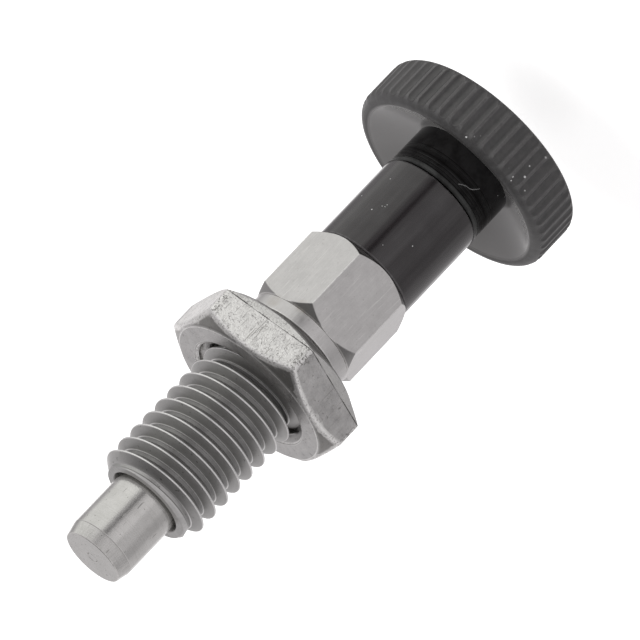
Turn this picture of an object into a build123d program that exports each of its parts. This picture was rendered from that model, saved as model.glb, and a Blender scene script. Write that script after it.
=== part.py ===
from build123d import *
import os
from math import cos, radians, sin, tan

# Sizes are in millimetres and degrees. The plunger stands on the flat end of its knob,
# and its pin points up along +Z. Heights are counted from the flat end of the knob.

# Knob: a moulded disc with a fluted rim and a dished underside
knob_radius = 8.0
knob_height = 4.0
knob_end_round = 0.7
knob_lip_round = 0.74
knob_inner_lip_round = 0.28
dish_depth = 1.5
rounding_steps = 2
flute_count = 52
flute_radius = 0.62
flute_depth = 0.16
flute_flat_count = 8

# Plunger pin: locating end, shoulder, stem and threaded end, all turned in one piece
pin_radius = 2.465
pin_protrusion = 5.3
nose_taper_length = 0.99
nose_taper_step = 0.22
centre_mark_radius = 0.22
centre_mark_depth = 0.1
shoulder_length = 1.1
stem_radius = 1.6
stud_step = 0.1
stud_length = 4.2

# Guide body: bored shank for the thread, collar, hexagon and a thin neck for the sleeve
thread_radius = 3.985
shank_length = 15.0
lead_chamfer = 0.3
bore_mouth_chamfer = 0.12
undercut_length = 1.2
undercut_wall = 0.6
collar_radius = 4.0
collar_length = 1.05
collar_chamfer = 0.08
hexagon_across_flats = 7.95
hexagon_length = 6.15
hexagon_face_radius = 3.96
hexagon_chamfer_angle = 45.0
chamber_step = 0.305
chamber_stop_depth = 0.3
guide_neck_wall = 0.5
guide_neck_recess = 0.12

# Sleeve: a smooth tube over the guide's neck, between the hexagon and the knob
sleeve_wall = 0.6
sleeve_length = 7.25
sleeve_edge_chamfer = 0.1

# Knob bush: the turned neck that joins the knob to the pin
neck_step = 0.07
neck_length = 3.3
neck_chamfer = 0.34
spigot_step = 0.65
spigot_length = 1.6
tapped_hole_spare = 0.1

# Retaining bush: closes the spring chamber
retaining_bush_length = 1.6

# Spring: both ends ground flat. The wire has six flats, to keep its long faces light
wire_radius = 0.25
wire_flat_count = 6
spring_turns = 5

# Lock nut: thin hexagon nut on the thread
nut_across_flats = 12.7
nut_thickness = 3.53
nut_face_radius = 6.04
nut_chamfer_angle = 33.0
nut_countersink = 0.65
nut_setting = 0.9
nut_turn = 38.46

# Clearances between pieces
running_clearance = 0.03
stem_clearance = 0.05
shoulder_clearance = 0.08
stop_clearance = 0.02
seat_clearance = 0.01
sleeve_clearance = 0.02
neck_gap = 0.08
nut_clearance = 0.045
cutter_overrun = 0.5

# Radii that follow from what each piece holds
bore_radius = pin_radius + running_clearance
chamber_radius = bore_radius + chamber_step
shoulder_radius = chamber_radius - shoulder_clearance
guide_neck_radius = chamber_radius + guide_neck_wall
sleeve_bore_radius = guide_neck_radius + sleeve_clearance
sleeve_radius = sleeve_bore_radius + sleeve_wall
neck_radius = sleeve_radius - neck_step
spigot_radius = neck_radius - spigot_step
stud_radius = stem_radius - stud_step
undercut_radius = bore_radius + undercut_wall
spring_radius = (stem_radius + chamber_radius) / 2

# Heights that follow from the lengths, from the knob to the tip of the pin
dish_floor = knob_height - dish_depth
spigot_end = dish_floor - spigot_length
neck_face = dish_floor + neck_length
sleeve_start = neck_face + neck_gap
sleeve_end = sleeve_start + sleeve_length
guide_start = sleeve_start + guide_neck_recess
hexagon_start = sleeve_end + sleeve_clearance
hexagon_end = hexagon_start + hexagon_length
collar_end = hexagon_end + collar_length
shank_end = collar_end + shank_length
chamber_end = hexagon_end - chamber_stop_depth
shoulder_top = chamber_end - stop_clearance
shoulder_base = shoulder_top - shoulder_length
retaining_bush_end = guide_start + retaining_bush_length
nut_start = collar_end + nut_setting
nut_end = nut_start + nut_thickness
pin_tip = shank_end + pin_protrusion


def turned(*corners):
    # Solid of revolution about Z, from (radius, height) corners
    return revolve(Plane.XZ * make_face(Polyline(*corners, close=True)), Axis.Z)


def bored(radius, start, end):
    # Cylinder for a bore or a plain shaft between two heights
    return Pos(0, 0, (start + end) / 2) * Cylinder(radius, end - start)


def chamfered_hexagon(across_flats, start, end, face_radius, chamfer_angle, turn):
    # Hexagon bar whose corners are turned off to a cone at both faces
    apothem = across_flats / 2
    corner_radius = apothem / cos(radians(30))
    outside = corner_radius + cutter_overrun
    drop = (outside - face_radius) * tan(radians(chamfer_angle))
    outline = Rot(0, 0, turn) * RegularPolygon(apothem, 6, major_radius=False)
    bar = Pos(0, 0, start) * extrude(outline, end - start)
    blank = turned(
        (0, start),
        (face_radius, start),
        (outside, start + drop),
        (outside, end - drop),
        (face_radius, end),
        (0, end),
    )
    return bar & blank


def rounding(radius, height, corner_round, start_angle):
    # Corners of a quarter round about (radius, height), turned as a few short cones
    angles = [radians(start_angle + 90 * step / rounding_steps) for step in range(rounding_steps + 1)]
    return [(radius + corner_round * cos(angle), height + corner_round * sin(angle)) for angle in angles]


def make_knob():
    # The rim's roundings and the dish are one outline, and the flutes run out into the roundings.
    # A flute is cut by an edge of a rod with flats, which leaves two of them in the rim
    lip_radius = knob_radius - knob_lip_round
    inner_lip_height = knob_height - knob_inner_lip_round
    floor_radius = neck_radius + stop_clearance
    disc = turned(
        (0, 0),
        *rounding(knob_radius - knob_end_round, knob_end_round, knob_end_round, -90),
        *rounding(lip_radius, knob_height - knob_lip_round, knob_lip_round, 0),
        *rounding(lip_radius, inner_lip_height, knob_inner_lip_round, 90)[1:],
        (floor_radius, dish_floor),
        (0, dish_floor),
    )
    rod = extrude(RegularPolygon(flute_radius, flute_flat_count), knob_height + cutter_overrun, both=True)
    flutes = PolarLocations(knob_radius + flute_radius - flute_depth, flute_count)
    disc -= [place * rod for place in flutes]
    return disc - bored(spigot_radius + seat_clearance, spigot_end, knob_height)


def make_knob_bush():
    # Neck with a chamfered end, and a spigot that the knob is moulded round
    body = turned(
        (0, spigot_end),
        (spigot_radius, spigot_end),
        (spigot_radius, dish_floor),
        (neck_radius, dish_floor),
        (neck_radius, neck_face - neck_chamfer),
        (neck_radius - neck_chamfer, neck_face),
        (0, neck_face),
    )
    hole_start = neck_face - stud_length - tapped_hole_spare
    return body - bored(stud_radius + seat_clearance, hole_start, neck_face + cutter_overrun)


def make_sleeve():
    return turned(
        (sleeve_bore_radius, sleeve_start),
        (sleeve_radius - sleeve_edge_chamfer, sleeve_start),
        (sleeve_radius, sleeve_start + sleeve_edge_chamfer),
        (sleeve_radius, sleeve_end - sleeve_edge_chamfer),
        (sleeve_radius - sleeve_edge_chamfer, sleeve_end),
        (sleeve_bore_radius, sleeve_end),
    )


def make_guide_body():
    # Shank, undercut, collar and neck are turned on one axis with the hexagon between them
    turned_parts = turned(
        (0, guide_start),
        (guide_neck_radius, guide_start),
        (guide_neck_radius, hexagon_start),
        (hexagon_face_radius, hexagon_start),
        (hexagon_face_radius, hexagon_end),
        (collar_radius, hexagon_end),
        (collar_radius, collar_end - collar_chamfer),
        (collar_radius - collar_chamfer, collar_end),
        (undercut_radius, collar_end),
        (undercut_radius, collar_end + undercut_length),
        (thread_radius, collar_end + undercut_length + thread_radius - undercut_radius),
        (thread_radius, shank_end - lead_chamfer),
        (thread_radius - lead_chamfer, shank_end),
        (0, shank_end),
    )
    hexagon = chamfered_hexagon(
        hexagon_across_flats, hexagon_start, hexagon_end, hexagon_face_radius, hexagon_chamfer_angle, 0
    )
    inside = turned(
        (0, guide_start - cutter_overrun),
        (chamber_radius, guide_start - cutter_overrun),
        (chamber_radius, chamber_end),
        (bore_radius, chamber_end),
        (bore_radius, shank_end - bore_mouth_chamfer),
        (bore_radius + bore_mouth_chamfer, shank_end),
        (bore_radius + bore_mouth_chamfer, shank_end + cutter_overrun),
        (0, shank_end + cutter_overrun),
    )
    return turned_parts + hexagon - inside


def make_retaining_bush():
    return turned(
        (stem_radius + stem_clearance, guide_start),
        (chamber_radius - seat_clearance, guide_start),
        (chamber_radius - seat_clearance, retaining_bush_end),
        (stem_radius + stem_clearance, retaining_bush_end),
    )


def make_plunger_pin():
    # The shoulder stops against the step where the chamber narrows to the bore
    return turned(
        (0, neck_face - stud_length),
        (stud_radius, neck_face - stud_length),
        (stud_radius, neck_face),
        (stem_radius, neck_face),
        (stem_radius, shoulder_base),
        (shoulder_radius, shoulder_base),
        (shoulder_radius, shoulder_top),
        (pin_radius, shoulder_top),
        (pin_radius, pin_tip - nose_taper_length),
        (pin_radius - nose_taper_step, pin_tip),
        (centre_mark_radius, pin_tip),
        (0, pin_tip - centre_mark_depth),
    )


def make_spring():
    # The helix runs from seat to seat, and the two seats grind its ends flat
    start = retaining_bush_end + seat_clearance
    end = shoulder_base - seat_clearance
    path = Helix((end - start) / spring_turns, end - start, spring_radius, center=(0, 0, start))
    section = Plane(origin=path @ 0, z_dir=path % 0) * RegularPolygon(wire_radius, wire_flat_count)
    wire = sweep(section, path, is_frenet=True)
    return wire & bored(spring_radius + 2 * wire_radius, start, end)


def make_lock_nut():
    blank = chamfered_hexagon(
        nut_across_flats, nut_start, nut_end, nut_face_radius, nut_chamfer_angle, nut_turn
    )
    bore = thread_radius + nut_clearance
    hole = turned(
        (0, nut_start - cutter_overrun),
        (bore + nut_countersink, nut_start - cutter_overrun),
        (bore + nut_countersink, nut_start),
        (bore, nut_start + nut_countersink),
        (bore, nut_end - nut_countersink),
        (bore + nut_countersink, nut_end),
        (bore + nut_countersink, nut_end + cutter_overrun),
        (0, nut_end + cutter_overrun),
    )
    return blank - hole


pieces = {
    "knob": make_knob(),
    "knob_bush": make_knob_bush(),
    "sleeve": make_sleeve(),
    "guide_body": make_guide_body(),
    "retaining_bush": make_retaining_bush(),
    "plunger_pin": make_plunger_pin(),
    "spring": make_spring(),
    "lock_nut": make_lock_nut(),
}

os.makedirs("parts", exist_ok=True)
for name, piece in pieces.items():
    export_step(piece, f"parts/{name}.step")
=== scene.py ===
from math import acos, atan2, cos, degrees, hypot, pi, radians, sin, sqrt, tan

import bmesh
import bpy
from mathutils import Matrix, Vector


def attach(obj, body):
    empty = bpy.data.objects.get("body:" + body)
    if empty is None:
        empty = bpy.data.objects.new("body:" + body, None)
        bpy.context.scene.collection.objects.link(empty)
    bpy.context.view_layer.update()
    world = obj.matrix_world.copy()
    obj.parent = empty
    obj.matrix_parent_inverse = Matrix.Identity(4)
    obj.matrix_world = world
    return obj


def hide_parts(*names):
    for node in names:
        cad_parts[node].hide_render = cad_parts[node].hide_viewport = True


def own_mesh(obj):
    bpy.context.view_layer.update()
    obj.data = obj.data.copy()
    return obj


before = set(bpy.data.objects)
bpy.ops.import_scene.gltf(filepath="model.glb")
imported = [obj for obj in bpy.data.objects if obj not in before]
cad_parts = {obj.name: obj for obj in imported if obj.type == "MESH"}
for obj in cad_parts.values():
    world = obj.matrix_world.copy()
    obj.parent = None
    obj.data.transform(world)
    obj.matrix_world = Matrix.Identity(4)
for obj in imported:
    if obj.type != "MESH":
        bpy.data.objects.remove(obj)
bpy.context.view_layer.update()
print("frame loaded")

# Pieces are modelled in millimetres about the plunger's axis and scaled to metres at the end
toMetres, mergeDistance = 0.001, 0.0005


def softened(corners, steps=4, hold=0.04):
    # Turns (radius, height, rounding) corners into an outline whose corners are short arcs.
    # A point beside each end of an arc keeps the shading of the straight stretches flat
    outline = [corners[0][:2]]
    for before, corner, after in zip(corners, corners[1:], corners[2:]):
        point, rounding = Vector(corner[:2]), corner[2]
        back, ahead = Vector(before[:2]) - point, Vector(after[:2]) - point
        opening = back.angle(ahead, pi)
        if rounding == 0 or opening > radians(178):
            outline += [tuple(point)] * (steps + 3 if rounding else 1)
            continue
        reach = min(rounding / tan(opening / 2), 0.45 * back.length, 0.45 * ahead.length)
        start, end = point + back.normalized() * reach, point + ahead.normalized() * reach
        middle = point + (back.normalized() + ahead.normalized()).normalized() * reach / cos(opening / 2)
        size = reach * tan(opening / 2)
        arc = [middle + (start - middle).slerp(end - middle, step / steps) * size for step in range(steps + 1)]
        arc.insert(0, start + back.normalized() * min(hold, 0.05 * back.length))
        arc.append(end + ahead.normalized() * min(hold, 0.05 * ahead.length))
        outline += [tuple(place) for place in arc]
    return outline + [corners[-1][:2]]


def spun(outline, steps=128, closed=False, rise=0, turns=1):
    # Spins an outline of (radius, height) about the axis; a rise makes it a screw
    bm = bmesh.new()
    verts = [bm.verts.new((radius, 0, height)) for radius, height in outline]
    pairs = list(zip(verts, verts[1:])) + ([(verts[-1], verts[0])] if closed else [])
    edges = [bm.edges.new(pair) for pair in pairs]
    bmesh.ops.spin(bm, geom=verts + edges, cent=(0, 0, 0), axis=(0, 0, 1), dvec=(0, 0, rise / steps),
                   angle=2 * pi * turns, steps=steps * turns, use_merge=rise == 0, use_duplicate=False)
    bmesh.ops.remove_doubles(bm, verts=bm.verts, dist=mergeDistance)
    return bm


def bentGrid(columns, rows, place):
    # A flat grid whose corners go to place(column, row); its first and last column meet
    bm = bmesh.new()
    bmesh.ops.create_grid(bm, x_segments=columns, y_segments=rows, size=0.5)
    for vert in bm.verts:
        vert.co = place(round((vert.co.x + 0.5) * columns), round((vert.co.y + 0.5) * rows))
    bmesh.ops.remove_doubles(bm, verts=bm.verts, dist=mergeDistance)
    return bm


def polar(angle, radius, height):
    return Vector((radius * cos(angle), radius * sin(angle), height))


def wrapped(angles, outlines):
    # A skin round the axis over outlines of (radius, height), which repeat if there are more angles
    return bentGrid(len(angles) - 1, len(outlines[0]) - 1,
                    lambda column, row: polar(angles[column], *outlines[column % len(outlines)][row]))


def markEdges(bm, gentle=4, sharp=9):
    # Keeps at each vertex how the mesh turns there: up to 1 on outer edges, which wear, and
    # down to -1 in inner corners
    layer = bm.verts.layers.float.new("edge")
    worn, hollowBends = {}, {}
    for edge in bm.edges:
        if len(edge.link_faces) == 2:
            bend = degrees(edge.calc_face_angle_signed(0))
            kept = worn if bend > 0 else hollowBends
            for vert in edge.verts:
                kept[vert] = max(kept.get(vert, 0), abs(bend))
    for vert in bm.verts:
        outward, inward = worn.get(vert, 0), hollowBends.get(vert, 0)
        outward = min(max((outward - gentle) / (sharp - gentle), 0), 1)
        vert[layer] = outward - min(max((inward - gentle) / (sharp - gentle), 0), 1)


def meshFrom(name, bm):
    mesh = bpy.data.meshes.new(name)
    bm.to_mesh(mesh)
    bm.free()
    return mesh


def madePiece(name, bm, material, body, replaced=None, sharpAngle=32):
    # Closes the work on a mesh: normals, size in metres, shading, material and what it rides on
    bmesh.ops.recalc_face_normals(bm, faces=bm.faces)
    markEdges(bm)
    bmesh.ops.scale(bm, vec=(toMetres, toMetres, toMetres), verts=bm.verts)
    mesh = meshFrom(name, bm)
    mesh.shade_smooth()
    mesh.set_sharp_from_angle(angle=radians(sharpAngle))
    mesh.materials.append(material)
    piece = bpy.data.objects.new(name, mesh)
    bpy.context.scene.collection.objects.link(piece)
    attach(piece, body)
    if replaced:
        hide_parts(replaced)
    print("made", name, len(mesh.polygons), "faces")
    return piece


def newFinish(name, colour, roughness, metallic=0.0, ior=1.5):
    material = bpy.data.materials.new(name)
    material.use_nodes = True
    shader = material.node_tree.nodes["Principled BSDF"]
    shader.inputs["Base Color"].default_value = (*colour, 1)
    shader.inputs["Roughness"].default_value = roughness
    shader.inputs["Metallic"].default_value = metallic
    shader.inputs["IOR"].default_value = ior
    return material, material.node_tree, shader


def addNode(tree, kind, settings=None, **sockets):
    # Sockets are given by name, or as i0, i1 and so on by their place
    made = tree.nodes.new(kind)
    for name, value in (settings or {}).items():
        setattr(made, name, value)
    for name, value in sockets.items():
        byPlace = name[0] == "i" and name[1:].isdigit()
        socket = made.inputs[int(name[1:])] if byPlace else made.inputs[name.replace("_", " ")]
        if isinstance(value, bpy.types.NodeSocket):
            tree.links.new(value, socket)
        else:
            socket.default_value = value
    return made


def objectPlace(tree):
    return addNode(tree, "ShaderNodeTexCoord").outputs["Object"]


def fineNoise(tree, place, grains, detail=3, roughness=0.6, stretch=(1, 1, 1), turn=(0, 0, 0)):
    # Noise with so many grains a millimetre
    moved = addNode(tree, "ShaderNodeMapping", Vector=place, Rotation=tuple(radians(part) for part in turn),
                    Scale=tuple(grains * part / toMetres for part in stretch))
    return addNode(tree, "ShaderNodeTexNoise", Vector=moved.outputs["Vector"], Scale=1, Detail=detail,
                   Roughness=roughness).outputs["Fac"]


def ranged(tree, value, low, high, fromLow=0.0, fromHigh=1.0):
    return addNode(tree, "ShaderNodeMapRange", Value=value, From_Min=fromLow, From_Max=fromHigh,
                   To_Min=low, To_Max=high).outputs["Result"]


# Noise seldom leaves the wide span, and a pattern made from the middle one has more contrast
wideSpan, middleSpan = (0.3, 0.7), (0.35, 0.65)


def pattern(tree, place, grains, low=0, high=1, span=middleSpan, **noise):
    # Noise that goes from low to high over a span of its own values
    return ranged(tree, fineNoise(tree, place, grains, **noise), low, high, *span)


def joined(tree, operation, first, second):
    return addNode(tree, "ShaderNodeMath", {"operation": operation}, i0=first, i1=second).outputs[0]


def both(tree, first, second):
    # Where two patterns meet, or one of them made as strong as a number says
    return joined(tree, "MULTIPLY", first, second)


def either(tree, first, second):
    return joined(tree, "MAXIMUM", first, second)


def faded(tree, distance, low, high, start, end):
    # Goes from one value to another between two distances in millimetres
    return ranged(tree, distance, low, high, start * toMetres, end * toMetres)


def banded(tree, distance, start, full, ebb, end):
    # Rises to 1 between the first two distances and falls again between the last two
    return both(tree, faded(tree, distance, 0, 1, start, full), faded(tree, distance, 1, 0, ebb, end))


def measured(tree, operation, place, other=(0, 0, 0)):
    return addNode(tree, "ShaderNodeVectorMath", {"operation": operation}, i0=place, i1=other).outputs["Value"]


def alongAxis(tree, place):
    # The distance from the plunger's axis and the height, in metres
    apart = addNode(tree, "ShaderNodeSeparateXYZ", Vector=place)
    flat = addNode(tree, "ShaderNodeCombineXYZ", X=apart.outputs["X"], Y=apart.outputs["Y"])
    return measured(tree, "LENGTH", flat.outputs[0]), apart.outputs["Z"]


def turnedMarks(tree, place, grains, detail=2):
    # Fine rings round the axis, as a lathe leaves them
    radius, height = alongAxis(tree, place)
    ringed = addNode(tree, "ShaderNodeCombineXYZ", X=radius, Z=height).outputs[0]
    return fineNoise(tree, ringed, grains, detail)


def toned(tree, factor, dark, light):
    # Mixes two colours, given as numbers or taken from a node, by a factor
    mixed = addNode(tree, "ShaderNodeMix", {"data_type": "RGBA"})
    tree.links.new(factor, mixed.inputs[0])
    for place, colour in ((6, dark), (7, light)):
        if isinstance(colour, bpy.types.NodeSocket):
            tree.links.new(colour, mixed.inputs[place])
        else:
            mixed.inputs[place].default_value = (*colour, 1)
    return mixed.outputs[2]


def bumped(tree, shader, height, depth):
    # Depth is in millimetres
    bump = addNode(tree, "ShaderNodeBump", Height=height, Distance=depth * toMetres)
    tree.links.new(bump.outputs["Normal"], shader.inputs["Normal"])


def edgeMark(tree, place, side, grains=3.0, least=0.1):
    # The mesh's own edge mark, on outer edges for side 1 and in inner corners for side -1, broken up
    # into patches
    mark = addNode(tree, "ShaderNodeAttribute", {"attribute_name": "edge"}).outputs["Fac"]
    patches = pattern(tree, place, grains, 0.35, 1, (0.35, 0.6))
    return both(tree, ranged(tree, mark, 0, 1, side * least, side), patches)


def scratchMarks(tree, place, grains, turn, share, length, softness=0.04):
    # Thin dashes that all run one way, fewer of them the greater the share
    return pattern(tree, place, grains, span=(share, share + softness), detail=1, stretch=(1, 1, length), turn=turn)


def specks(tree, place, spots, core=0.3, rim=0.55):
    # Dust at (x, y, height, width) spots in millimetres; core and rim are shares of a speck's width
    dust = None
    for x, y, height, width in spots:
        away = measured(tree, "DISTANCE", place, (x * toMetres, y * toMetres, height * toMetres))
        speck = faded(tree, away, 1, 0, width * core, width * rim)
        dust = either(tree, dust, speck) if dust else speck
    return dust


def belowChamfer(tree, radius, height, size):
    # How far a point lies under the cone that turns off a hexagon's corners, in metres
    fall = joined(tree, "SUBTRACT", radius, size["face"] * toMetres)
    fall = both(tree, fall, tan(radians(size["slope"])))
    return joined(tree, "SUBTRACT", joined(tree, "SUBTRACT", size["end"] * toMetres, height), fall)


def steelSurface(name, look):
    # Steel with clouds, fine grain, lathe marks, dark pits, worn bright edges and darker inner corners.
    # Gives back the nodes that a piece adds its own marks to
    material, tree, shader = newFinish(name, look["light"], look["roughness"][0], metallic=1)
    place = objectPlace(tree)
    clouds = fineNoise(tree, place, look["clouds"], detail=6, roughness=0.65)
    grain = fineNoise(tree, place, look["grains"], detail=2)
    rings = turnedMarks(tree, place, look["rings"])
    pitSpan = look["pitShare"], look["pitShare"] + 0.05
    pits = pattern(tree, place, look["pits"], 0, look["pitStrength"], pitSpan, detail=2)
    mottle = joined(tree, "ADD", ranged(tree, clouds, 0, 0.5, *middleSpan), ranged(tree, grain, 0, 0.25, *wideSpan))
    mottle = joined(tree, "ADD", mottle, ranged(tree, rings, 0, look["ringShare"], *wideSpan))
    colour = toned(tree, mottle, look["dark"], look["light"])
    colour = toned(tree, pits, colour, look["pitColour"])
    colour = toned(tree, edgeMark(tree, place, -1), colour, look["innerCornerColour"])
    colour = toned(tree, edgeMark(tree, place, 1), colour, look["worn"])
    tree.links.new(ranged(tree, clouds, *look["roughness"], *wideSpan), shader.inputs["Roughness"])
    height = joined(tree, "ADD", grain, both(tree, rings, look["ringShare"]))
    return {"material": material, "tree": tree, "shader": shader, "place": place, "clouds": clouds, "grain": grain,
            "colour": colour, "height": joined(tree, "SUBTRACT", height, pits)}


def paint(surface, factor, colour):
    # Lays a mark of one colour over the surface
    surface["colour"] = toned(surface["tree"], factor, surface["colour"], colour)


def sink(surface, marks):
    surface["height"] = joined(surface["tree"], "SUBTRACT", surface["height"], marks)


def closedSurface(surface, depth):
    # Joins the finished colour and height to the shader
    tree, shader = surface["tree"], surface["shader"]
    tree.links.new(surface["colour"], shader.inputs["Base Color"])
    bumped(tree, shader, surface["height"], depth)
    return surface["material"]


pin = {
    "radius": 2.465, "tip": 40.65, "taper": 0.99, "tipRadius": 2.243, "shoulder": (17.88, 18.98, 2.72),
    "stem": 1.6, "stud": 1.5, "studStart": 1.6, "studEnd": 5.8, "edge": 0.06, "centreMark": (0.36, 0.44),
    "centreDepth": 0.09, "steps": 144,
    # The finish
    "dark": (0.52, 0.516, 0.5), "light": (0.68, 0.674, 0.66), "roughness": (0.12, 0.2), "clouds": 0.8,
    "grains": 12, "rings": 14, "ringShare": 0.3, "pits": 4, "pitShare": 0.7, "pitStrength": 0.6,
    "pitColour": (0.2, 0.2, 0.19), "worn": (0.74, 0.73, 0.71), "innerCornerColour": (0.2, 0.19, 0.18), "depth": 0.006,
    # Ground lines along the nose, and nicks
    "lines": dict(grains=11, high=0.4, span=(0.4, 0.75), detail=1, stretch=(1, 1, 0.01)),
    "lineColour": (0.42, 0.415, 0.4), "nicks": dict(grains=5, turn=(35, 20, 0), share=0.72, length=0.12),
    "nickStrength": 0.6, "nickColour": (0.22, 0.22, 0.21),
}


def pinSteel():
    surface = steelSurface("pinSteel", pin)
    tree, place = surface["tree"], surface["place"]
    taperStart = pin["tip"] - pin["taper"]
    nose = faded(tree, alongAxis(tree, place)[1], 0, 1, taperStart, taperStart + 0.09)
    paint(surface, both(tree, nose, pattern(tree, place, **pin["lines"])), pin["lineColour"])
    nicks = scratchMarks(tree, place, **pin["nicks"])
    paint(surface, both(tree, nicks, pin["nickStrength"]), pin["nickColour"])
    sink(surface, nicks)
    return closedSurface(surface, pin["depth"])


def makePin():
    low, high, shoulder = pin["shoulder"]
    pip, groove = pin["centreMark"]
    radius, stem, stud, tip = pin["radius"], pin["stem"], pin["stud"], pin["tip"]
    taperStart = tip - pin["taper"]
    outline = softened([
        (0, pin["studStart"]),
        (stud, pin["studStart"], 0.2),
        (stud, pin["studEnd"], 0),
        (stem, pin["studEnd"], 0.05),
        (stem, low, 0.05),
        (shoulder, low, 0.06),
        (shoulder, high, 0.06),
        (radius, high, 0.03),
        (radius, taperStart - 0.05, 0.01),
        (radius - 0.02, taperStart, 0.01),  # a fine line where the taper starts
        (radius, taperStart + 0.03, 0.01),
        (pin["tipRadius"], tip, pin["edge"]),
        (groove, tip, 0.02),
        ((pip + groove) / 2, tip - pin["centreDepth"], 0.01),
        (pip, tip - 0.01, 0.02),
        (0, tip - 0.02),
    ])
    madePiece("plungerPin", spun(outline, pin["steps"]), pinSteel(), "plunger", "plunger_pin")


hexagon = {
    "apothem": 3.975, "start": 13.15, "end": 19.3, "face": 3.96, "slope": 45, "cornerWear": 0.045,
    "collar": 4.0, "collarEnd": 20.35, "undercut": 3.095, "undercutEnd": 21.55, "neck": 3.3, "neckStart": 6.0,
    "chamber": 2.8, "chamberEnd": 19.0, "bore": 2.495,
    # The finish
    "dark": (0.53, 0.522, 0.518), "light": (0.7, 0.692, 0.684), "roughness": (0.27, 0.38), "clouds": 0.9,
    "grains": 14, "rings": 16, "ringShare": 0.1, "pits": 5, "pitShare": 0.66, "pitStrength": 0.3,
    "pitColour": (0.3, 0.29, 0.27), "worn": (0.9, 0.9, 0.88), "innerCornerColour": (0.2, 0.19, 0.175), "depth": 0.005,
    "scratches": [dict(grains=9, turn=(0, 52, 30), share=0.68, length=0.06),
                  dict(grains=10, turn=(35, -60, 80), share=0.69, length=0.06),
                  dict(grains=8, turn=(60, 15, 40), share=0.69, length=0.06)],
    "scratchStrength": 0.3, "scratchColour": (0.85, 0.845, 0.83),
    "milled": dict(grains=7, high=0.16, span=(0.4, 0.7), detail=2, stretch=(1, 1, 0.04)),
    "milledColour": (0.42, 0.415, 0.4),
    "stains": [(2.4, -3.2, 19.1, 1.1), (3.6, -1.6, 19.7, 1.2)], "stainStrength": (0.1, 0.45),
    # The turned corners' colour is painted shade for the dark reflection that they show
    "stainColour": (0.4, 0.365, 0.32), "turnedShadeStrength": 0.75, "turnedShadeColour": (0.25, 0.247, 0.245),
}


def flatRadius(angle, apothem, turn, cornerWear):
    # Radius of a hexagon whose corners lie at turn + 60 k degrees and are worn a little round
    fromFlat = (angle - turn) % radians(60) - radians(30)
    near, far = apothem / cos(fromFlat), apothem / cos(radians(60) - abs(fromFlat))
    blend = max(cornerWear - abs(far - near), 0) / cornerWear
    return min(near, far) - blend * blend * cornerWear / 4


def sectorAngles(turn, spread=(0, 0.35, 0.7, 1.1, 1.6, 2.2, 3, 4.5, 7, 10, 13, 16, 19, 22, 25, 28)):
    # Column angles round a hexagon, closest together at its corners
    half = [radians(part) for part in spread]
    sector = half + [radians(60) - part for part in reversed(half[1:])]
    angles = [radians(turn) + radians(60) * corner + part for corner in range(6) for part in sector]
    return angles + [radians(turn + 360)]


def bodySteel():
    surface = steelSurface("bodySteel", hexagon)
    tree, place = surface["tree"], surface["place"]
    for oneWay in hexagon["scratches"]:
        scratches = both(tree, scratchMarks(tree, place, **oneWay), hexagon["scratchStrength"])
        paint(surface, scratches, hexagon["scratchColour"])
        sink(surface, scratches)
    paint(surface, pattern(tree, place, **hexagon["milled"]), hexagon["milledColour"])
    stains = both(tree, specks(tree, place, hexagon["stains"]),
                  ranged(tree, surface["clouds"], *hexagon["stainStrength"], 0.4, 0.6))
    paint(surface, stains, hexagon["stainColour"])
    # The turned corners are darkened with painted shade for the dark reflection they show. The height is folded about
    # the middle, for both ends of the hexagon
    radius, height = alongAxis(tree, place)
    middle = (hexagon["start"] + hexagon["end"]) / 2 * toMetres
    folded = joined(tree, "ADD", joined(tree, "ABSOLUTE", joined(tree, "SUBTRACT", height, middle), 0), middle)
    turned = both(tree, faded(tree, radius, 0, hexagon["turnedShadeStrength"], 4.03, 4.07),
                  faded(tree, belowChamfer(tree, radius, folded, hexagon), 1, 0, 0.03, 0.06))
    paint(surface, turned, hexagon["turnedShadeColour"])
    return closedSurface(surface, hexagon["depth"])


def makeHexagon():
    angles = sectorAngles(0)
    slope = tan(radians(hexagon["slope"]))

    def outlineAt(angle):
        side = flatRadius(angle, hexagon["apothem"], 0, hexagon["cornerWear"])
        drop = (side - hexagon["face"]) * slope
        start, end = hexagon["start"], hexagon["end"]
        return softened([
            (hexagon["bore"], hexagon["undercutEnd"]),
            (hexagon["bore"], hexagon["chamberEnd"], 0),
            (hexagon["chamber"], hexagon["chamberEnd"], 0),
            (hexagon["chamber"], hexagon["neckStart"], 0),
            (hexagon["neck"], hexagon["neckStart"], 0.05),
            (hexagon["neck"], start, 0),
            (hexagon["face"] - 0.12, start, 0.03),
            (side, start + drop + 0.01, 0.04),
            (side, end - drop - 0.01, 0.04),
            (hexagon["face"], end, 0.02),
            (hexagon["collar"], end + 0.03, 0.02),
            (hexagon["collar"], hexagon["collarEnd"], 0.07),
            (hexagon["undercut"], hexagon["collarEnd"], 0.1),
            (hexagon["undercut"], hexagon["undercutEnd"], 0),
            (hexagon["bore"], hexagon["undercutEnd"]),
        ])

    bm = wrapped(angles, [outlineAt(angle) for angle in angles])
    madePiece("guideHexagon", bm, bodySteel(), "guide", "guide_body")


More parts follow.
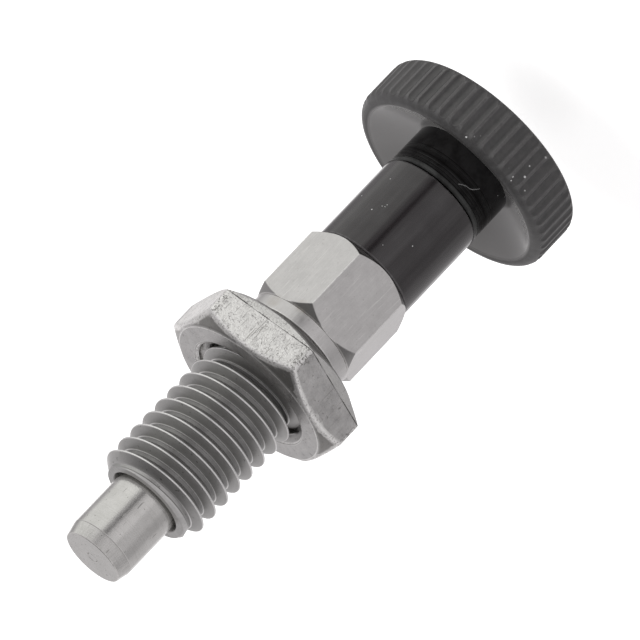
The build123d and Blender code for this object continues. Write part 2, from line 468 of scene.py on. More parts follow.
thread = {
    "crest": 3.985, "root": 3.235, "pitch": 1.25, "crestFlat": 0.1, "flank": 30, "crestRound": 0.03,
    "rootRound": 0.1, "start": 21.55, "end": 35.35, "crestHeight": 22.05, "leadRadius": 3.2, "runOutRadius": 3.3,
    "runOutSlope": 2, "bore": 2.495, "mouth": 2.74, "mouthDepth": 0.55, "steps": 96,
    # The finish
    "dark": (0.42, 0.418, 0.41), "light": (0.6, 0.598, 0.59), "roughness": (0.36, 0.46), "clouds": 0.9,
    "grains": 9, "rings": 9, "ringShare": 0.2, "pits": 3.5, "pitShare": 0.67, "pitStrength": 0.7,
    "pitColour": (0.12, 0.12, 0.11), "worn": (0.6, 0.597, 0.59), "innerCornerColour": (0.5, 0.497, 0.49), "depth": 0.006,
    # Painted shade on the flanks and in the roots, and painted highlights beside the roots and along the crests
    "flankShadeStrength": (0.75, 0.1), "flankShadeColour": (0.22, 0.218, 0.214), "rootShadeStrength": 0.45,
    "rootShadeColour": (0.12, 0.119, 0.117), "highlightBand": (0.03, 0.06, 0.09, 0.13), "lineColour": (0.86, 0.857, 0.85),
}


def threadSteel():
    # Painted shade that darkens the flanks towards darker roots, with a painted highlight beside each root and along
    # each crest
    surface = steelSurface("threadSteel", thread)
    tree, place = surface["tree"], surface["place"]
    crest, root, end = thread["crest"], thread["root"], thread["end"]
    radius, height = alongAxis(tree, place)
    away = faded(tree, height, 1, 0.15, end - 0.8, end - 0.5)  # the end of the shank is plainer
    # Painted shade that darkens the flanks towards the roots
    flankShade = both(tree, faded(tree, radius, *thread["flankShadeStrength"], root, crest - 0.1), away)
    flankShade = both(tree, flankShade, ranged(tree, surface["clouds"], 0.6, 1, *middleSpan))
    paint(surface, flankShade, thread["flankShadeColour"])
    # Painted shadow in the roots
    rootShade = faded(tree, radius, thread["rootShadeStrength"], 0, root + 0.01, root + 0.05)
    paint(surface, both(tree, rootShade, away), thread["rootShadeColour"])
    # A painted highlight beside each root
    lines = banded(tree, radius, *(root + step for step in thread["highlightBand"]))
    paint(surface, both(tree, lines, away), thread["lineColour"])
    # A painted highlight along each crest
    crestHighlights = both(tree, faded(tree, radius, 0, 1, crest - 0.05, crest - 0.02),
                  ranged(tree, surface["grain"], 0.6, 1, 0.35, 0.5))
    paint(surface, crestHighlights, thread["lineColour"])
    return closedSurface(surface, thread["depth"])


def makeThread():
    pitch, crest, root = thread["pitch"], thread["crest"], thread["root"]
    start, end = thread["start"], thread["end"]
    flank = (crest - root) * tan(radians(thread["flank"]))
    crestHalf = thread["crestFlat"] / 2
    outline = softened([
        (root, -pitch / 2),
        (root, -flank - crestHalf, thread["rootRound"]),
        (crest, -crestHalf, thread["crestRound"]),
        (crest, crestHalf, thread["crestRound"]),
        (root, flank + crestHalf, thread["rootRound"]),
        (root, pitch / 2),
    ], steps=3)
    turns = int((end - start) / pitch) + 4
    first = thread["crestHeight"] - 2 * pitch
    bm = spun([(radius, height + first) for radius, height in outline], thread["steps"], rise=pitch, turns=turns)
    for vert in bm.verts:  # turns the lead chamfer and the run-out as cones
        radius = hypot(vert.co.x, vert.co.y)
        lead = thread["leadRadius"] + max(end - vert.co.z, 0)
        runOut = thread["runOutRadius"] + thread["runOutSlope"] * max(vert.co.z - start, 0)
        limit = min(lead, runOut)
        if radius > limit:
            vert.co.x, vert.co.y = vert.co.x * limit / radius, vert.co.y * limit / radius
    for height, outward in ((start, -1), (end, 1)):
        bmesh.ops.bisect_plane(bm, geom=bm.verts[:] + bm.edges[:] + bm.faces[:], dist=0.0001,
                               plane_co=(0, 0, height), plane_no=(0, 0, outward), clear_outer=True)
    bore = softened([
        (thread["bore"], start),
        (thread["bore"], end - thread["mouthDepth"], 0.02),
        (thread["mouth"] - 0.05, end - 0.08, 0.03),
        (thread["mouth"], end),
    ])
    mesh = meshFrom("boreWall", spun(bore, thread["steps"]))
    bm.from_mesh(mesh)
    bpy.data.meshes.remove(mesh)
    for height in (start, end):
        rims = [edge for edge in bm.edges if edge.is_boundary
                and all(abs(vert.co.z - height) < 0.001 for vert in edge.verts)]
        bmesh.ops.bridge_loops(bm, edges=rims)
    madePiece("guideThread", bm, threadSteel(), "guide", "guide_body")


sleeve = {
    "radius": 3.92, "inner": 3.32, "start": 5.88, "end": 13.13, "startEdge": 0.09, "endEdge": 0.12,
    # The finish
    "colour": (0.007, 0.004, 0.0052), "ior": 1.68, "roughness": (0.05, 0.16), "depth": 0.003,
    "clouds": dict(grains=0.6, detail=5), "streaks": dict(grains=5, detail=3, stretch=(1, 1, 0.05)),
    "grain": dict(grains=12, detail=2), "gloss": (0.45, 0.56), "glossSpan": (0.12, 0.36),
    "wornStrength": 0.12, "wornColour": (0.5, 0.49, 0.5), "dustColour": (0.5, 0.5, 0.5),
    "dust": [(3.61, -1.53, 7.62, 0.09), (3.9, -0.38, 9.52, 0.1), (3.26, -2.17, 10.33, 0.12),
             (3.0, -2.52, 9.74, 0.08), (2.88, -2.66, 9.67, 0.07), (2.86, -2.68, 9.48, 0.08),
             (1.43, -3.65, 11.97, 0.07), (-0.04, -3.92, 10.5, 0.1)],
}


def sleeveBlack():
    # Black with lines drawn along the tube
    material, tree, shader = newFinish("sleeveBlack", sleeve["colour"], sleeve["roughness"][0], ior=sleeve["ior"])
    place = objectPlace(tree)
    cloud = fineNoise(tree, place, **sleeve["clouds"])
    streaks = fineNoise(tree, place, **sleeve["streaks"])
    grain = fineNoise(tree, place, **sleeve["grain"])
    rough = joined(tree, "ADD", ranged(tree, cloud, 0, 0.5, *middleSpan), ranged(tree, streaks, 0, 0.5, *middleSpan))
    tree.links.new(ranged(tree, rough, *sleeve["roughness"]), shader.inputs["Roughness"])
    gloss = ranged(tree, both(tree, streaks, cloud), *sleeve["gloss"], *sleeve["glossSpan"])
    tree.links.new(gloss, shader.inputs["Specular IOR Level"])
    worn = both(tree, edgeMark(tree, place, 1), sleeve["wornStrength"])
    colour = toned(tree, worn, sleeve["colour"], sleeve["wornColour"])
    colour = toned(tree, specks(tree, place, sleeve["dust"]), colour, sleeve["dustColour"])
    tree.links.new(colour, shader.inputs["Base Color"])
    bumped(tree, shader, joined(tree, "ADD", streaks, both(tree, grain, 0.5)), sleeve["depth"])
    return material


def makeSleeve():
    outline = softened([
        (sleeve["inner"], sleeve["start"]),
        (sleeve["radius"], sleeve["start"], sleeve["startEdge"]),
        (sleeve["radius"], sleeve["end"], sleeve["endEdge"]),
        (sleeve["inner"], sleeve["end"]),
    ])
    bm = spun(outline, closed=True)
    madePiece("sleeveTube", bm, sleeveBlack(), "guide", "sleeve")


bush = {"bore": 1.65, "radius": 2.79, "start": 6.0, "end": 7.6, "boreEdge": 0.12, "edge": 0.08}


def makeRetainingBush():
    outline = softened([
        (bush["bore"], bush["end"]),
        (bush["bore"], bush["start"], bush["boreEdge"]),
        (bush["radius"], bush["start"], bush["edge"]),
        (bush["radius"], bush["end"]),
    ])
    madePiece("retainingBush", spun(outline, closed=True), bodySteel(), "guide", "retaining_bush")


spring = {
    "wire": 0.25, "radius": 2.2, "start": 7.61, "end": 17.87, "activeTurns": 5, "closedRise": 0.525, "keep": 0.464,
    "steps": 48, "sides": 12, "colour": (0.55, 0.55, 0.54), "roughness": (0.22, 0.4), "grains": 12,
}


def springSteel():
    material, tree, shader = newFinish("springSteel", spring["colour"], spring["roughness"][0], metallic=1)
    grain = fineNoise(tree, objectPlace(tree), spring["grains"], detail=2)
    tree.links.new(ranged(tree, grain, *spring["roughness"]), shader.inputs["Roughness"])
    return material


def makeSpring():
    turns = spring["activeTurns"] + 2  # one closed turn at each end
    bottom, top = spring["start"] + spring["wire"], spring["end"] - spring["wire"]
    closedRise = spring["closedRise"]

    def height(turn):
        if turn < 1:
            return bottom + closedRise * turn
        if turn > turns - 1:
            return top - closedRise * (turns - turn)
        return bottom + closedRise + (turn - 1) / (turns - 2) * (top - bottom - 2 * closedRise)

    def place(column, row):
        turn, around = column / spring["steps"], 2 * pi * row / spring["sides"]
        radius, lift = spring["radius"] + spring["wire"] * cos(around), spring["wire"] * sin(around)
        return polar(2 * pi * turn, radius, min(max(height(turn) + lift, spring["start"]), spring["end"]))

    bm = bentGrid(turns * spring["steps"], spring["sides"], place)
    bmesh.ops.holes_fill(bm, edges=[edge for edge in bm.edges if edge.is_boundary])
    coil = madePiece("springCoil", bm, springSteel(), "guide", "spring")
    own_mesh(coil)


neck = {
    "radius": 3.85, "start": 2.5, "end": 5.8, "chamfer": 0.22, "spigot": 3.2, "spigotStart": 0.9,
    "hole": 1.51, "holeEnd": 1.5, "drillPoint": 1.3, "lineHalf": 0.03,
    # The height and depth of each tool line
    "toolLines": [(4.08, 0.008), (4.3, 0.01), (4.62, 0.003), (4.88, 0.008), (5.12, 0.005), (5.34, 0.03)],
    # The finish
    "colour": (0.0024, 0.0019, 0.0021), "ior": 1.28, "roughness": (0.12, 0.18), "depth": 0.004,
    "clouds": dict(grains=0.8, detail=4), "rings": 12, "ringsFrom": (3.9, 4.3), "wornGrains": 1.2,
    # The band is a lighter band painted near the lower end as a reflection
    "wornStrength": 0.03, "wornColour": (0.5, 0.5, 0.5), "band": (5.4, 5.44, 5.71, 5.74),
    "bandReflectionColour": (0.05, 0.051, 0.05), "dustColour": (0.3, 0.3, 0.3),
    "dust": [(-2.17, -3.18, 3.11, 0.09), (-2.72, -2.73, 2.6, 0.08)],
    "fibre": [(0.57, -3.81, 5.01), (0.37, -3.83, 4.85), (0.12, -3.85, 4.71), (-0.21, -3.84, 4.63),
              (-0.42, -3.83, 4.49), (-0.57, -3.81, 4.28), (-0.76, -3.77, 4.02)],
    "fibreWidth": 0.058, "fibreDots": 5,
}


def neckBlack():
    material, tree, shader = newFinish("neckBlack", neck["colour"], neck["roughness"][0], ior=neck["ior"])
    place = objectPlace(tree)
    height = alongAxis(tree, place)[1]
    cloud = fineNoise(tree, place, **neck["clouds"])
    tree.links.new(ranged(tree, cloud, *neck["roughness"], *wideSpan), shader.inputs["Roughness"])
    worn = both(tree, edgeMark(tree, place, 1, neck["wornGrains"]), neck["wornStrength"])
    colour = toned(tree, worn, neck["colour"], neck["wornColour"])
    # A painted reflection: a lighter band near the lower end
    band = both(tree, banded(tree, height, *neck["band"]), ranged(tree, cloud, 0.5, 1, 0.35, 0.6))
    colour = toned(tree, band, colour, neck["bandReflectionColour"])
    dust, dots = list(neck["dust"]), neck["fibreDots"]
    for start, end in zip(neck["fibre"], neck["fibre"][1:]):  # a wavy fibre is a row of fine dots
        dust += [(*Vector(start).lerp(Vector(end), step / dots), neck["fibreWidth"]) for step in range(dots)]
    colour = toned(tree, specks(tree, place, dust), colour, neck["dustColour"])
    tree.links.new(colour, shader.inputs["Base Color"])
    lined = faded(tree, height, 0.1, 1, *neck["ringsFrom"])  # the lathe marks are plainest by the tool lines
    bumped(tree, shader, both(tree, turnedMarks(tree, place, neck["rings"]), lined), neck["depth"])
    return material


def makeNeck():
    radius, chamferStart, half = neck["radius"], neck["end"] - neck["chamfer"], neck["lineHalf"]
    corners = [
        (0, neck["spigotStart"]),
        (neck["spigot"], neck["spigotStart"], 0.05),
        (neck["spigot"], neck["start"], 0),
        (radius, neck["start"], 0),
    ]
    for line, depth in neck["toolLines"]:
        corners += [(radius, line - half, 0), (radius - depth, line, 0), (radius, line + half, 0)]
    corners += [
        (radius, chamferStart, 0.03),
        (radius - neck["chamfer"], neck["end"], 0.03),
        (neck["hole"], neck["end"], 0.05),
        (neck["hole"], neck["holeEnd"], 0),
        (0, neck["drillPoint"]),
    ]
    madePiece("knobNeck", spun(softened(corners)), neckBlack(), "plunger", "knob_bush")


knob = {
    "radius": 7.999, "height": 4.0, "endRound": 0.7, "lipRound": 0.74, "innerRound": 0.7, "hub": 3.87, "floor": 2.5,
    "sag": 0.12, "pocket": 3.21, "pocketFloor": 0.9, "flutes": 52, "fluteRadius": 0.6, "fluteDepth": 0.15,
    "ridgeWear": 0.012, "flutePhase": 0.5, "roundSteps": 8, "dishSteps": 12,
    # Where the mesh has its columns over a flute and a ridge, and its rows up the rim and round the lip
    "fluteShares": (-1, -0.95, -0.7, -0.4, -0.1, 0.1, 0.4, 0.7, 0.95), "ridgeShares": (0, 0.15, 0.85),
    "wallShares": (0.02, 0.2, 0.4, 0.6, 0.8, 0.98), "lipShares": (0, 0.06, 0.15, 0.3, 0.45, 0.6, 0.75, 0.9, 1),
    # The finish
    "dark": (0.036, 0.0335, 0.034), "light": (0.053, 0.0495, 0.05), "roughness": (0.34, 0.46), "ior": 1.68,
    "grain": dict(grains=8, detail=3), "clouds": dict(grains=0.6, detail=6, roughness=0.65), "depth": 0.008,
    # The smoother dish is lightened with painted light, a reflection painted into its colour
    "smoothInside": (6.92, 7.2), "smoothRoughness": 0.2, "dishPaintedLight": (0.228, 0.2235, 0.221),
    # The lip is darkened with painted shade
    "lip": (0.012, 0.0118, 0.0118), "lipShadeHeights": (3.35, 3.8), "lipShadeStrength": 0.6, "edgeGrains": 2,
    "worn": (0.09, 0.089, 0.089), "innerCornerColour": (0.026, 0.0255, 0.0255), "dustColour": (0.6, 0.6, 0.6),
    "dust": [(0.25, -7.97, 3.37, 0.13), (0.04, -7.91, 3.18, 0.12), (-0.68, -7.85, 3.63, 0.11),
             (-0.58, -7.95, 3.39, 0.16), (-1.21, -7.82, 2.7, 0.2), (-0.93, -7.85, 1.91, 0.16),
             (-1.31, -7.8, 0.65, 0.22), (-1.93, -7.67, 3.24, 0.15), (-2.24, -7.59, 3.09, 0.15),
             (-3.49, -7.13, 3.52, 0.11), (3.42, -7.01, 3.74, 0.14), (3.11, -7.34, 3.38, 0.15),
             (2.87, -7.37, 3.02, 0.13)],
}


def knobPlastic():
    # A matt rim with a lip darkened by painted shade round a smoother dish lightened by a painted reflection
    material, tree, shader = newFinish("knobPlastic", knob["dark"], knob["roughness"][0], ior=knob["ior"])
    place = objectPlace(tree)
    radius, height = alongAxis(tree, place)
    grain = fineNoise(tree, place, **knob["grain"])
    cloud = fineNoise(tree, place, **knob["clouds"])
    matt = faded(tree, radius, 0, 1, *knob["smoothInside"])
    rough = both(tree, ranged(tree, cloud, *knob["roughness"], *wideSpan), matt)
    rough = joined(tree, "ADD", rough, ranged(tree, matt, knob["smoothRoughness"], 0))
    tree.links.new(rough, shader.inputs["Roughness"])
    mottle = joined(tree, "ADD", ranged(tree, cloud, 0, 0.5, *middleSpan), ranged(tree, grain, 0, 0.5, *middleSpan))
    colour = toned(tree, mottle, knob["dark"], knob["light"])
    colour = toned(tree, edgeMark(tree, place, -1, knob["edgeGrains"]), colour, knob["innerCornerColour"])
    colour = toned(tree, edgeMark(tree, place, 1, knob["edgeGrains"]), colour, knob["worn"])
    # Painted shade on the lip
    colour = toned(tree, faded(tree, height, 0, knob["lipShadeStrength"], *knob["lipShadeHeights"]), colour, knob["lip"])
    # Painted light: the smoother dish is lighter in colour, as a painted reflection
    colour = toned(tree, matt, knob["dishPaintedLight"], colour)
    colour = toned(tree, specks(tree, place, knob["dust"]), colour, knob["dustColour"])
    tree.links.new(colour, shader.inputs["Base Color"])
    bumped(tree, shader, both(tree, grain, ranged(tree, matt, 0.1, 1)), knob["depth"])
    return material


def makeKnob():
    radius, height = knob["radius"], knob["height"]
    endRound, lipRound, innerRound = knob["endRound"], knob["lipRound"], knob["innerRound"]
    lip = radius - lipRound
    cutterRadius = knob["fluteRadius"]
    cutterPlace = radius + cutterRadius - knob["fluteDepth"]
    half = acos((cutterPlace ** 2 + radius ** 2 - cutterRadius ** 2) / (2 * cutterPlace * radius))
    period = 2 * pi / knob["flutes"]
    ridge = period - 2 * half
    offsets = [half * share for share in knob["fluteShares"]]
    offsets += [half + ridge * share for share in knob["ridgeShares"]]
    phase = radians(knob["flutePhase"])
    angles = [phase + period * flute + offset for flute in range(knob["flutes"]) for offset in offsets]
    angles.append(angles[0] + 2 * pi)

    def wallRadius(offset):
        # The wall of a flute, or the ridge between two, with the ridge's edges worn
        inside = cutterRadius ** 2 - (cutterPlace * sin(offset)) ** 2
        flute = cutterPlace * cos(offset) - sqrt(inside) if inside > 0 else radius + 1
        blend = max(knob["ridgeWear"] - abs(flute - radius), 0) / knob["ridgeWear"]
        return min(flute, radius) - blend * blend * knob["ridgeWear"] / 4

    def outlineAt(offset):
        # From the middle of the flat end round the rim and the lip, and down the dish to the pocket
        wall, steps = wallRadius(offset), knob["roundSteps"]
        endAngle = acos((wall - radius + endRound) / endRound)
        lipAngle = acos((wall - radius + lipRound) / lipRound)
        outline = [(0, 0), (3.5, 0), (radius - endRound - 0.3, 0)]
        for step in range(steps + 1):
            angle = -pi / 2 + (pi / 2 - endAngle) * step / steps
            outline.append((radius - endRound + endRound * cos(angle), endRound + endRound * sin(angle)))
        bottom, top = outline[-1][1], height - lipRound + lipRound * sin(lipAngle)
        outline += [(wall, bottom + (top - bottom) * share) for share in knob["wallShares"]]
        for share in knob["lipShares"]:
            angle = lipAngle + (pi / 2 - lipAngle) * share
            outline.append((lip + lipRound * cos(angle), height - lipRound + lipRound * sin(angle)))
        fall = atan2(height - knob["floor"], lip - knob["hub"])
        for step in range(1, steps + 1):
            angle = pi / 2 + fall * step / steps
            outline.append((lip + innerRound * cos(angle), height - innerRound + innerRound * sin(angle)))
        start, end = Vector(outline[-1]), Vector((knob["hub"], knob["floor"]))
        for step in range(1, knob["dishSteps"] + 1):
            part = step / knob["dishSteps"]
            place = start.lerp(end, part)
            outline.append((place.x, place.y - knob["sag"] * 4 * part * (1 - part)))
        pocket, pocketFloor = knob["pocket"], knob["pocketFloor"]
        return outline + [(pocket, knob["floor"]), (pocket, pocketFloor), (0, pocketFloor)]

    bm = wrapped(angles, [outlineAt(offset) for offset in offsets])
    madePiece("knobDisc", bm, knobPlastic(), "plunger", "knob", sharpAngle=34)


nut = {
    "apothem": 6.35, "start": 21.25, "end": 24.78, "face": 6.04, "slope": 33, "turn": 38.46, "cornerWear": 0.2,
    "crest": 4.02, "root": 4.5, "pitch": 1.25, "crestHeight": 22.6, "mouth": 4.68, "mouthEdge": 0.05,
    "boreSteps": 44, "crease": 22.1, "creaseTilt": 7, "creaseDepth": 0.03,
    # The finish
    "dark": (0.41, 0.405, 0.4), "light": (0.74, 0.732, 0.724), "roughness": (0.26, 0.4), "clouds": 0.8,
    "grains": 9, "rings": 8, "ringShare": 0.15, "pits": 3.6, "pitShare": 0.64, "pitStrength": 0.5,
    "pitColour": (0.16, 0.155, 0.145), "worn": (0.92, 0.915, 0.9), "wornGrains": 1.8,
    "innerCornerColour": (0.16, 0.155, 0.14), "depth": 0.02,
    # The two beaten sides: the way they face, how far out they start and the marks on them
    "beatenSide": -23, "beatenFrom": (3.7, 4.15), "beatenOutside": (6.2, 6.32),
    "patches": dict(grains=1.6, low=0.55, span=(0.36, 0.54), detail=5, roughness=0.7),
    "patchColour": (0.94, 0.935, 0.915), "dents": dict(grains=8, span=(0.565, 0.65), detail=4, roughness=0.75),
    "dentGroups": dict(grains=0.9, low=0.35, span=(0.42, 0.6), detail=2),
    "dashes": dict(grains=10, share=0.69, length=0.07), "dentStrength": 0.62, "dentColour": (0.34, 0.33, 0.3),
    # The back edge behind the crease, and the crease, darkened with painted shade, with its gaps
    "backStrength": 0.55, "backColour": (0.74, 0.74, 0.72), "creaseShadeColour": (0.1, 0.098, 0.09),
    "creaseBand": (-0.06, -0.02, 0.01, 0.05), "creaseGaps": dict(grains=0.9, span=(0.42, 0.55)),
    "scratches": dict(grains=6, turn=(10, 60, 20), share=0.69, length=0.05), "scratchStrength": 0.5,
    # The turned corners' colour is painted shade
    "scratchColour": (0.3, 0.295, 0.28), "turnedShadeStrength": 0.8, "turnedShadeColour": (0.2, 0.195, 0.185),
    "bandWidth": 0.24, "bandJag": 0.18, "jagGrains": 1.1, "bandStrength": 0.5,
    "bruises": dict(grains=6, high=0.8, span=(0.54, 0.6), detail=3, roughness=0.7),
    "bruisedCorners": (7.02, 7.15), "rimStrength": 0.6, "rimGrains": 2.5, "bruiseColour": (0.2, 0.195, 0.18),
}


def acrossFlats(tree, place, turn):
    # How far out a point lies towards a hexagon's nearest side, in metres
    outward = 0
    for side in (30, 90, 150):
        across = measured(tree, "DOT_PRODUCT", place, polar(radians(turn + side), 1, 0))
        outward = either(tree, outward, joined(tree, "ABSOLUTE", across, 0))
    return outward


def nutSteel():
    # Two sides are pitted and worn bright; the others are smoother, with fine lines
    surface = steelSurface("nutSteel", nut)
    tree, place = surface["tree"], surface["place"]
    radius, height = alongAxis(tree, place)
    side, crease = nut["beatenSide"], nut["crease"]
    reach = measured(tree, "DOT_PRODUCT", place, polar(radians(side), 1, 0))
    beaten = both(tree, faded(tree, reach, 0, 1, *nut["beatenFrom"]),
                  faded(tree, radius, 0, 1, *nut["beatenOutside"]))
    paint(surface, both(tree, beaten, pattern(tree, place, **nut["patches"])), nut["patchColour"])

    dents = both(tree, pattern(tree, place, **nut["dents"]), pattern(tree, place, **nut["dentGroups"]))
    crossed = either(tree, scratchMarks(tree, place, turn=(0, 0, side + 90), **nut["dashes"]),
                     scratchMarks(tree, place, turn=(0, 90, side), **nut["dashes"]))
    dents = both(tree, either(tree, dents, crossed), beaten)
    paint(surface, both(tree, dents, nut["dentStrength"]), nut["dentColour"])

    back = both(tree, faded(tree, radius, 0, 1, 6.2, 6.3),
                faded(tree, height, nut["backStrength"], 0, crease - 0.1, crease - 0.02))
    paint(surface, back, nut["backColour"])
    # The crease is darkened with painted shade, broken by gaps
    line = banded(tree, height, *(crease + step for step in nut["creaseBand"]))
    line = both(tree, line, pattern(tree, place, **nut["creaseGaps"]))
    paint(surface, line, nut["creaseShadeColour"])
    scratches = both(tree, scratchMarks(tree, place, **nut["scratches"]), nut["scratchStrength"])
    paint(surface, scratches, nut["scratchColour"])
    paint(surface, edgeMark(tree, place, 1, nut["wornGrains"]), nut["worn"])

    # The turned corners are darkened with painted shade, with a jagged bright band where they meet the sides
    outward = acrossFlats(tree, place, nut["turn"])
    cone = both(tree, faded(tree, radius, 0, nut["turnedShadeStrength"], 6.08, 6.2), faded(tree, outward, 1, 0, 6, 6.1))
    paint(surface, cone, nut["turnedShadeColour"])
    jag, width = nut["bandJag"] * toMetres, nut["bandWidth"]
    jagged = pattern(tree, place, nut["jagGrains"], -jag, jag, detail=3)
    onFlat = joined(tree, "ADD", belowChamfer(tree, radius, height, nut), jagged)
    onCone = joined(tree, "ADD", outward, jagged)
    band = both(tree, faded(tree, onFlat, 1, 0, width, width + 0.06), faded(tree, onCone, 0, 1, 6.04, 6.12))
    paint(surface, both(tree, band, nut["bandStrength"]), nut["worn"])

    bruises = pattern(tree, place, **nut["bruises"])
    corners = both(tree, faded(tree, radius, 0, 1, *nut["bruisedCorners"]), bruises)
    rim = both(tree, either(tree, band, edgeMark(tree, place, 1, nut["rimGrains"], least=0.4)), bruises)
    bruised = either(tree, corners, both(tree, rim, nut["rimStrength"]))
    paint(surface, bruised, nut["bruiseColour"])
    sink(surface, joined(tree, "ADD", joined(tree, "ADD", scratches, dents), joined(tree, "ADD", line, bruised)))
    return closedSurface(surface, nut["depth"])


def makeNut():
    angles = sectorAngles(nut["turn"])
    slope = tan(radians(nut["slope"]))
    start, end, mouth, edge = nut["start"], nut["end"], nut["mouth"], nut["mouthEdge"]

    def boreRadius(angle, height):
        # The thread inside the nut, opened by a cone at each face
        along = (height - nut["crestHeight"]) / nut["pitch"] - angle / (2 * pi)
        ridge = abs(along - round(along)) * 2
        depth = (nut["root"] - nut["crest"]) * min(max((ridge - 0.25) / 0.45, 0), 1)
        return max(nut["crest"] + depth, mouth - (end - height), mouth - (height - start))

    def outlineAt(angle):
        side = flatRadius(angle, nut["apothem"], radians(nut["turn"]), nut["cornerWear"])
        drop = (side - nut["face"]) * slope
        crease = max(nut["crease"], start + drop + edge)
        tilt = (crease - start - drop) * tan(radians(nut["creaseTilt"]))
        outside = softened([
            (mouth, start),
            (nut["face"], start, 0.1),
            (side - tilt, start + drop, 0.07),
            (side - nut["creaseDepth"], crease, 0.03),
            (side, crease + edge, 0.03),
            (side, end - drop, 0.35),
            (nut["face"], end, 0.2),
            (mouth + edge, end, edge),
            (mouth, end - edge),
        ])
        top, steps = end - edge, nut["boreSteps"]
        heights = [top + (start - top) * step / steps for step in range(steps + 1)]
        return outside[:-1] + [(boreRadius(angle, height), height) for height in heights]

    bm = wrapped(angles, [outlineAt(angle) for angle in angles])
    madePiece("lockNut", bm, nutSteel(), "lock_nut", "lock_nut")


makePin()
makeHexagon()
makeThread()
makeSleeve()
makeRetainingBush()
makeSpring()
makeNeck()
makeKnob()
makeNut()


studio = {
    "floorWidth": 4.0, "floorHeight": -0.0057, "floorColour": 0.8, "floorRoughness": 0.9, "floorGlow": 0.6,
    # The name, azimuth, elevation, distance, width and power of each lamp
    "lamps": [("keyBox", 0, 50, 1.2, 0.8, 8), ("fillBox", -150, 40, 1.2, 0.8, 3)],
    # What shines on the plunger from each side, by degrees round from the camera to the left
    "tones": [(-180, 0.62), (-164, 0.84), (-154, 1.06), (-149, 0.7), (-100, 0.6), (-92, 0.48), (-68, 0.5),
              (-58, 0.62), (-28, 0.62), (-18, 0.8), (2, 0.74), (15, 0.56), (19, 0.2), (24, 0.2), (28, 0.48),
              (34, 0.5), (40, 0.95), (60, 1.0), (118, 0.92), (130, 0.6), (142, 0.46), (153, 0.5), (160, 1.1),
              (165, 1.4), (180, 0.62)],
    "tint": (1, 0.975, 0.985), "warmTint": (1, 0.995, 0.975), "warmFrom": 36, "warmTo": 125,
    "lowerTone": 0.3, "lowerFrom": -28, "lowerTo": -50, "upperTone": 0.68, "upperFrom": 0, "upperTo": 10,
    "overheadTone": 0.16, "overheadFrom": 38, "overheadTo": 60,
    "camera": {"azimuth": -73.097, "elevation": 20.476, "roll": -136.455, "distance": 0.58363,
               "aim": (-0.0001, 0, 0.01746), "lens": 490.5},
}


def whiteGround():
    # A pale floor that shows as white to the camera and keeps the shadow
    material, tree, shader = newFinish("whiteGround", (studio["floorColour"],) * 3, studio["floorRoughness"])
    path = addNode(tree, "ShaderNodeLightPath")
    seen = either(tree, path.outputs["Is Camera Ray"], path.outputs["Is Glossy Ray"])
    seen = either(tree, seen, path.outputs["Is Transmission Ray"])
    glow = both(tree, seen, studio["floorGlow"])
    shader.inputs["Specular IOR Level"].default_value = 0
    shader.inputs["Emission Color"].default_value = (1, 1, 1, 1)
    tree.links.new(glow, shader.inputs["Emission Strength"])
    return material


def makeFloor():
    bm = bmesh.new()
    # The floor lies low enough for the knob to be pulled down all the way
    bmesh.ops.create_grid(bm, x_segments=1, y_segments=1, size=studio["floorWidth"] / 2,
                          matrix=Matrix.Translation((0, 0, studio["floorHeight"])))
    mesh = meshFrom("floor", bm)
    mesh.materials.append(whiteGround())
    floor = bpy.data.objects.new("floor", mesh)
    floor.visible_glossy = False  # the steel mirrors the soft boxes and flags of the world instead
    bpy.context.scene.collection.objects.link(floor)


def makeLamp(name, azimuth, elevation, distance, width, power):
    # A large square soft box that looks at the plunger
    lamp = bpy.data.lights.new(name, "AREA")
    lamp.shape = "SQUARE"
    lamp.size = width
    lamp.energy = power
    box = bpy.data.objects.new(name, lamp)
    place = polar(radians(azimuth), cos(radians(elevation)), sin(radians(elevation))) * distance
    box.location = place
    box.rotation_euler = (-place).to_track_quat("-Z", "Y").to_euler()
    box.visible_glossy = False
    bpy.context.scene.collection.objects.link(box)


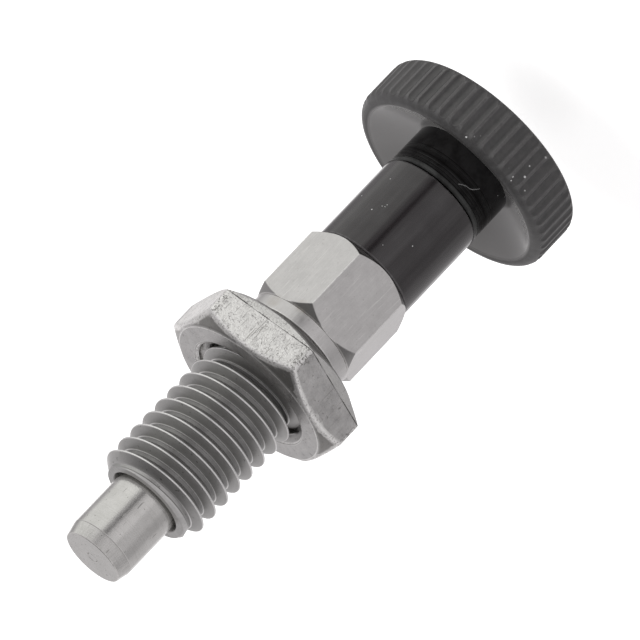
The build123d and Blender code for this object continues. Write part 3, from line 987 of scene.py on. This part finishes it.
def makeWorld():
    # Soft boxes and dark flags stand round the plunger, with an even pale band above them and
    # darker stretches overhead and below. Behind it all the camera sees white
    world = bpy.data.worlds.new("studio")
    bpy.context.scene.world = world
    world.use_nodes = True
    tree = world.node_tree
    direction = addNode(tree, "ShaderNodeTexCoord").outputs["Generated"]
    turned = addNode(tree, "ShaderNodeMapping", {"vector_type": "POINT"}, Vector=direction,
                     Rotation=(0, 0, radians(-studio["camera"]["azimuth"])))
    around = addNode(tree, "ShaderNodeTexGradient", {"gradient_type": "RADIAL"}, Vector=turned.outputs["Vector"])
    ramp = addNode(tree, "ShaderNodeValToRGB", Fac=around.outputs["Fac"])
    for azimuth, _ in studio["tones"][1:-1]:
        ramp.color_ramp.elements.new((azimuth + 180) / 360)
    for stop, (azimuth, tone) in zip(ramp.color_ramp.elements, studio["tones"]):
        tint = studio["warmTint"] if studio["warmFrom"] < azimuth < studio["warmTo"] else studio["tint"]
        stop.color = (*(tone * part for part in tint), 1)
    height = addNode(tree, "ShaderNodeSeparateXYZ", Vector=direction).outputs["Z"]
    light = ramp.outputs["Color"]
    for band in ("lower", "upper", "overhead"):
        risen = addNode(tree, "ShaderNodeMapRange", {"interpolation_type": "SMOOTHSTEP"}, Value=height,
                        From_Min=sin(radians(studio[band + "From"])), From_Max=sin(radians(studio[band + "To"])))
        light = toned(tree, risen.outputs["Result"], light, [studio[band + "Tone"] * part for part in studio["tint"]])
    path = addNode(tree, "ShaderNodeLightPath")
    seen = either(tree, path.outputs["Is Camera Ray"], path.outputs["Is Transmission Ray"])
    tree.links.new(toned(tree, seen, light, (1, 1, 1)), tree.nodes["Background"].inputs["Color"])


def makeCamera():
    view = studio["camera"]
    camera = bpy.data.objects.new("camera", bpy.data.cameras.new("camera"))
    azimuth, elevation, roll = (radians(view[key]) for key in ("azimuth", "elevation", "roll"))
    toward = polar(azimuth, cos(elevation), sin(elevation))
    level = Vector((0, 0, 1)).cross(toward).normalized()
    upward = toward.cross(level)
    right = level * cos(roll) + upward * sin(roll)
    matrix = Matrix((right, toward.cross(right), toward)).transposed().to_4x4()
    matrix.translation = Vector(view["aim"]) + toward * view["distance"]
    camera.matrix_world = matrix
    camera.data.lens = view["lens"]
    camera.data.sensor_width = 36
    camera.data.clip_end = 50
    bpy.context.scene.collection.objects.link(camera)
    bpy.context.scene.camera = camera


makeFloor()
makeWorld()
for lamp in studio["lamps"]:
    makeLamp(*lamp)
makeCamera()
bpy.context.scene.view_settings.view_transform = "Standard"
print("made the studio")
